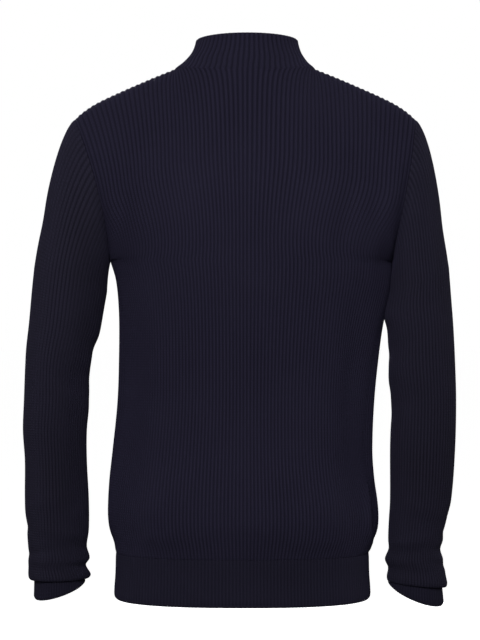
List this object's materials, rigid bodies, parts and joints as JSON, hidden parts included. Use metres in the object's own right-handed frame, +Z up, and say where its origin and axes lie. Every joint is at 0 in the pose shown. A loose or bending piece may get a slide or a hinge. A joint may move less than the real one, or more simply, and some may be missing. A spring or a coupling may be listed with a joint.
{
  "type": "quarter zip sweater",
  "caption": "Rib-knit sweater with a stand collar and a short front zip, filled out as worn, with hollow body, sleeves and collar.",
  "frame": {"origin": "the middle of the wearer's shoulders, on the centre line at the height of the back neck seam", "axes": "+Z up, towards the collar; -Y out of the front of the garment; +X towards the wearer's left"},
  "size_m": [0.5653, 0.2477, 0.742],
  "materials": {
    "knit": "soft matt rib-knit wool, very dark navy",
    "rib_knit": "finer matt rib-knit wool, very dark navy",
    "zip_tape": "close woven tape, near black",
    "zip_teeth": "moulded coil, satin, near black",
    "zip_metal": "dark satin plated metal"
  },
  "bodies": {
    "sweater": {"back": "knit", "front": "knit", "sleeve_left": "knit", "sleeve_right": "knit", "cuff_left": "rib_knit", "cuff_right": "rib_knit", "hem_band": "rib_knit", "collar": "rib_knit", "zip_tape_left": "zip_tape", "zip_tape_right": "zip_tape", "zip_chain": "zip_teeth", "zip_slider": "zip_metal", "zip_bottom_stop": "zip_metal"},
    "pull": {"zip_pull": "zip_metal"}
  },
  "joints": [
    {"name": "pull_hinge", "type": "hinge", "parent": "sweater", "child": "pull", "pos_m": [0, -0.08617, 0.014], "axis": [1, 0, 0], "range_deg": [-170, 0]}
  ]
}
